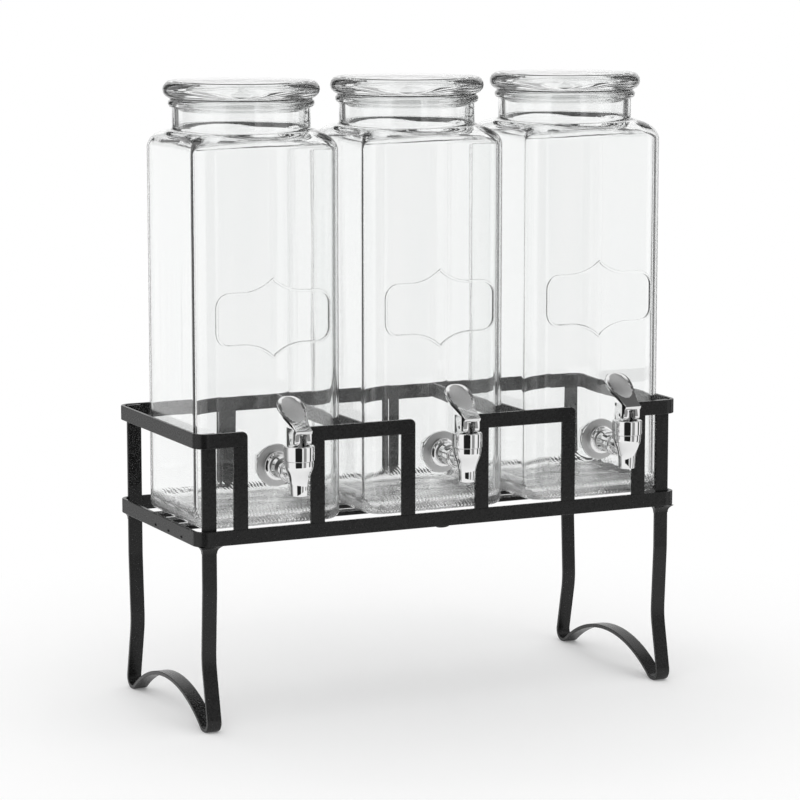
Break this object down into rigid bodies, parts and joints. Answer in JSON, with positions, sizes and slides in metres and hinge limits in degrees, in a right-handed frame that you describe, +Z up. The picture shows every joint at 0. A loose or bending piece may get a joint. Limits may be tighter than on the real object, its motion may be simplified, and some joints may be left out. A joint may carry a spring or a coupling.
{
  "type": "triple beverage dispenser",
  "caption": "Square glass drink jars with glass lids and chrome lever taps, side by side in a black flat bar stand on bent arched legs.",
  "frame": {"origin": "on the floor, under the centre of the whole object's box", "axes": "+Z up, +X to the right as seen from the taps, +Y from the taps to the back"},
  "size_m": [0.4, 0.211, 0.4719],
  "materials": {
    "black_powder_coat": "satin black powder coat",
    "clear_glass": "clear pressed glass",
    "silicone": "translucent silicone",
    "chrome": "polished chrome",
    "seal_rubber": "matt translucent rubber",
    "valve_brass": "turned",
    "steel": "drawn stainless steel"
  },
  "bodies": {
    "stand": {"top_rail": "black_powder_coat", "bottom_rail": "black_powder_coat", "front_bar_left": "black_powder_coat", "front_bar_right": "black_powder_coat", "front_post_1": "black_powder_coat", "front_post_2": "black_powder_coat", "front_post_3": "black_powder_coat", "front_post_4": "black_powder_coat", "front_post_5": "black_powder_coat", "front_post_6": "black_powder_coat", "rear_post_1": "black_powder_coat", "rear_post_2": "black_powder_coat", "divider_left": "black_powder_coat", "divider_right": "black_powder_coat", "support_bar_1": "black_powder_coat", "support_bar_2": "black_powder_coat", "support_bar_3": "black_powder_coat", "leg_frame_left": "black_powder_coat", "leg_frame_right": "black_powder_coat", "stand_welds": "black_powder_coat"},
    "jar_1": {"jar_1": "clear_glass", "tap_body_1": "chrome", "outer_washer_1": "seal_rubber", "inner_washer_1": "seal_rubber", "tap_nut_1": "chrome", "bonnet_1": "chrome"},
    "lid_1": {"lid_1": "clear_glass", "lid_seal_1": "silicone"},
    "stem_1": {"valve_stem_1": "valve_brass", "stem_seal_1": "seal_rubber", "valve_spring_1": "steel"},
    "lever_1": {"lever_1": "chrome", "lever_pin_1": "steel"},
    "jar_2": {"jar_2": "clear_glass", "tap_body_2": "chrome", "outer_washer_2": "seal_rubber", "inner_washer_2": "seal_rubber", "tap_nut_2": "chrome", "bonnet_2": "chrome"},
    "lid_2": {"lid_2": "clear_glass", "lid_seal_2": "silicone"},
    "stem_2": {"valve_stem_2": "valve_brass", "stem_seal_2": "seal_rubber", "valve_spring_2": "steel"},
    "lever_2": {"lever_2": "chrome", "lever_pin_2": "steel"},
    "jar_3": {"jar_3": "clear_glass", "tap_body_3": "chrome", "outer_washer_3": "seal_rubber", "inner_washer_3": "seal_rubber", "tap_nut_3": "chrome", "bonnet_3": "chrome"},
    "lid_3": {"lid_3": "clear_glass", "lid_seal_3": "silicone"},
    "stem_3": {"valve_stem_3": "valve_brass", "stem_seal_3": "seal_rubber", "valve_spring_3": "steel"},
    "lever_3": {"lever_3": "chrome", "lever_pin_3": "steel"}
  },
  "joints": [
    {"name": "jar_lift_1", "type": "slide", "parent": "stand", "child": "jar_1", "axis": [0, 0, 1], "range_m": [0, 0.085]},
    {"name": "lid_lift_1", "type": "slide", "parent": "jar_1", "child": "lid_1", "axis": [0, 0, 1], "range_m": [0, 0.03]},
    {"name": "stem_lift_1", "type": "slide", "parent": "jar_1", "child": "stem_1", "axis": [0, 0, 1], "range_m": [0, 0.00275], "deforming": ["valve_spring_1"]},
    {"name": "lever_pull_1", "type": "hinge", "parent": "stem_1", "child": "lever_1", "pos_m": [-0.135, -0.09433, 0.2195], "axis": [1, 0, 0], "range_deg": [0, 45], "stiffness_Nm_per_rad": 0.2, "springref_deg": -8.59},
    {"name": "jar_lift_2", "type": "slide", "parent": "stand", "child": "jar_2", "axis": [0, 0, 1], "range_m": [0, 0.085]},
    {"name": "lid_lift_2", "type": "slide", "parent": "jar_2", "child": "lid_2", "axis": [0, 0, 1], "range_m": [0, 0.03]},
    {"name": "stem_lift_2", "type": "slide", "parent": "jar_2", "child": "stem_2", "axis": [0, 0, 1], "range_m": [0, 0.00275], "deforming": ["valve_spring_2"]},
    {"name": "lever_pull_2", "type": "hinge", "parent": "stem_2", "child": "lever_2", "pos_m": [0, -0.09433, 0.2195], "axis": [1, 0, 0], "range_deg": [0, 45], "stiffness_Nm_per_rad": 0.2, "springref_deg": -8.59},
    {"name": "jar_lift_3", "type": "slide", "parent": "stand", "child": "jar_3", "axis": [0, 0, 1], "range_m": [0, 0.085]},
    {"name": "lid_lift_3", "type": "slide", "parent": "jar_3", "child": "lid_3", "axis": [0, 0, 1], "range_m": [0, 0.03]},
    {"name": "stem_lift_3", "type": "slide", "parent": "jar_3", "child": "stem_3", "axis": [0, 0, 1], "range_m": [0, 0.00275], "deforming": ["valve_spring_3"]},
    {"name": "lever_pull_3", "type": "hinge", "parent": "stem_3", "child": "lever_3", "pos_m": [0.135, -0.09433, 0.2195], "axis": [1, 0, 0], "range_deg": [0, 45], "stiffness_Nm_per_rad": 0.2, "springref_deg": -8.59}
  ],
  "couplings": [
    {"joint": "lever_pull_1", "follows": "stem_lift_1", "rad_per_m": 285.59},
    {"joint": "lever_pull_2", "follows": "stem_lift_2", "rad_per_m": 285.59},
    {"joint": "lever_pull_3", "follows": "stem_lift_3", "rad_per_m": 285.59}
  ]
}
